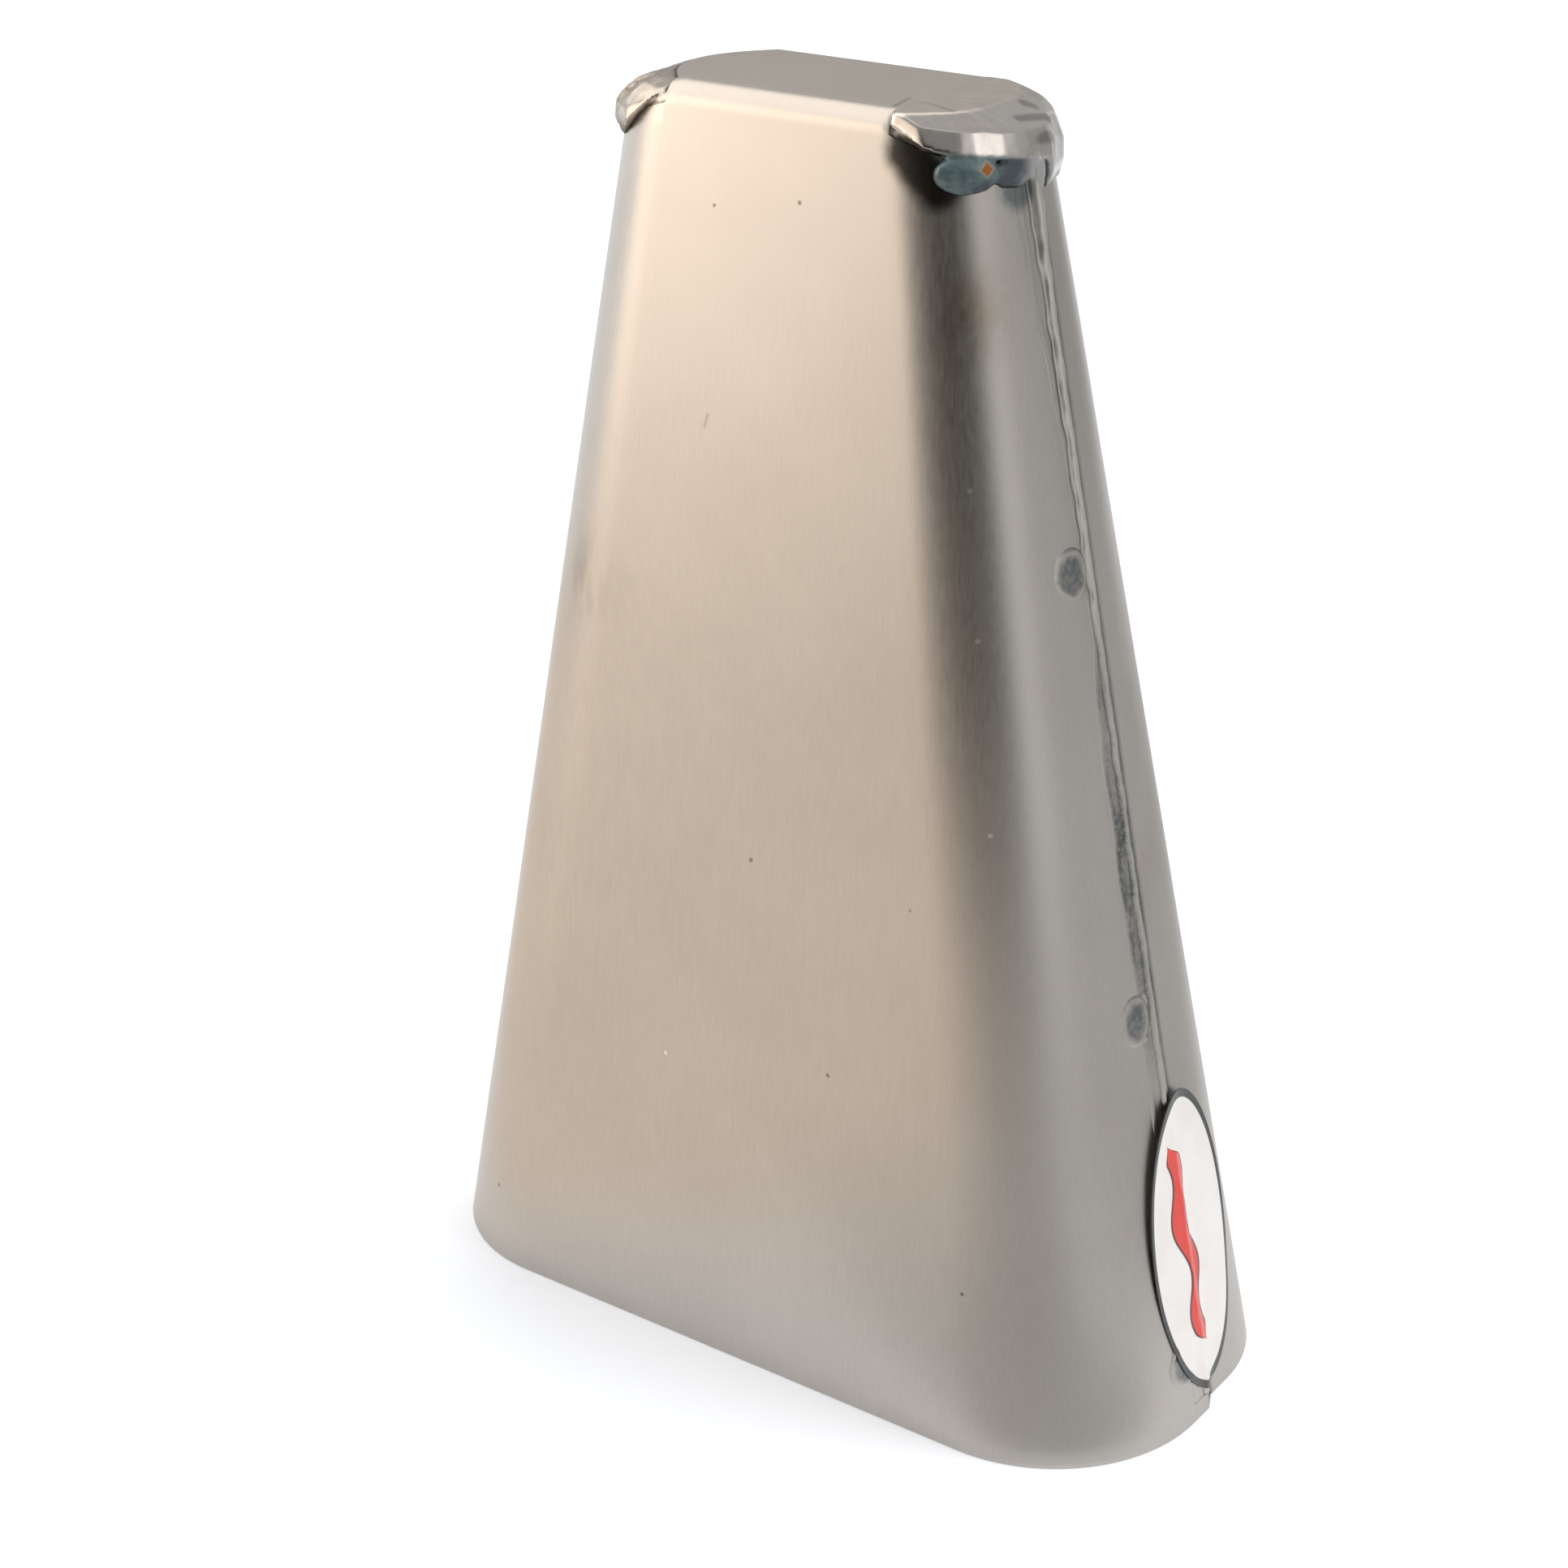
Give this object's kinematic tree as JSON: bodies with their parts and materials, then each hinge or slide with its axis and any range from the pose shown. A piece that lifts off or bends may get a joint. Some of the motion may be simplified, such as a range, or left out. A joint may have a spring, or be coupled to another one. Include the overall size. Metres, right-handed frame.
{
  "type": "bongo bell",
  "caption": "Hand-held steel bongo bell: a tapered folded sheet, open at the wide mouth, with lapped welded ends and a flat crown closed by filler welds.",
  "frame": {"origin": "centre of the mouth, on the plane of the mouth rim", "axes": "+Z from the mouth up to the crown, +X along the wide side of the mouth towards the labelled end, +Y from the front wall to the rear wall"},
  "size_m": [0.1484, 0.069, 0.212],
  "materials": {
    "satin_steel": "satin, faintly brushed from crown to mouth, heat tinted near the welds",
    "weld_filler": "ground and half polished filler metal with dark toes",
    "weld_scale": "dark mottled weld scale with bright ridges",
    "label_film": "satin printed film, off-white with a dark border"
  },
  "bodies": {
    "root": {"bell_sheet": "satin_steel", "right_crown_weld": "weld_filler", "left_crown_weld": "weld_filler", "right_seam_bead": "weld_scale", "left_seam_bead": "weld_scale", "right_spot_weld_upper": "weld_scale", "right_spot_weld_middle": "weld_scale", "right_spot_weld_lower": "weld_scale", "left_spot_weld_upper": "weld_scale", "left_spot_weld_middle": "weld_scale", "left_spot_weld_lower": "weld_scale", "label": "label_film"}
  },
  "joints": []
}
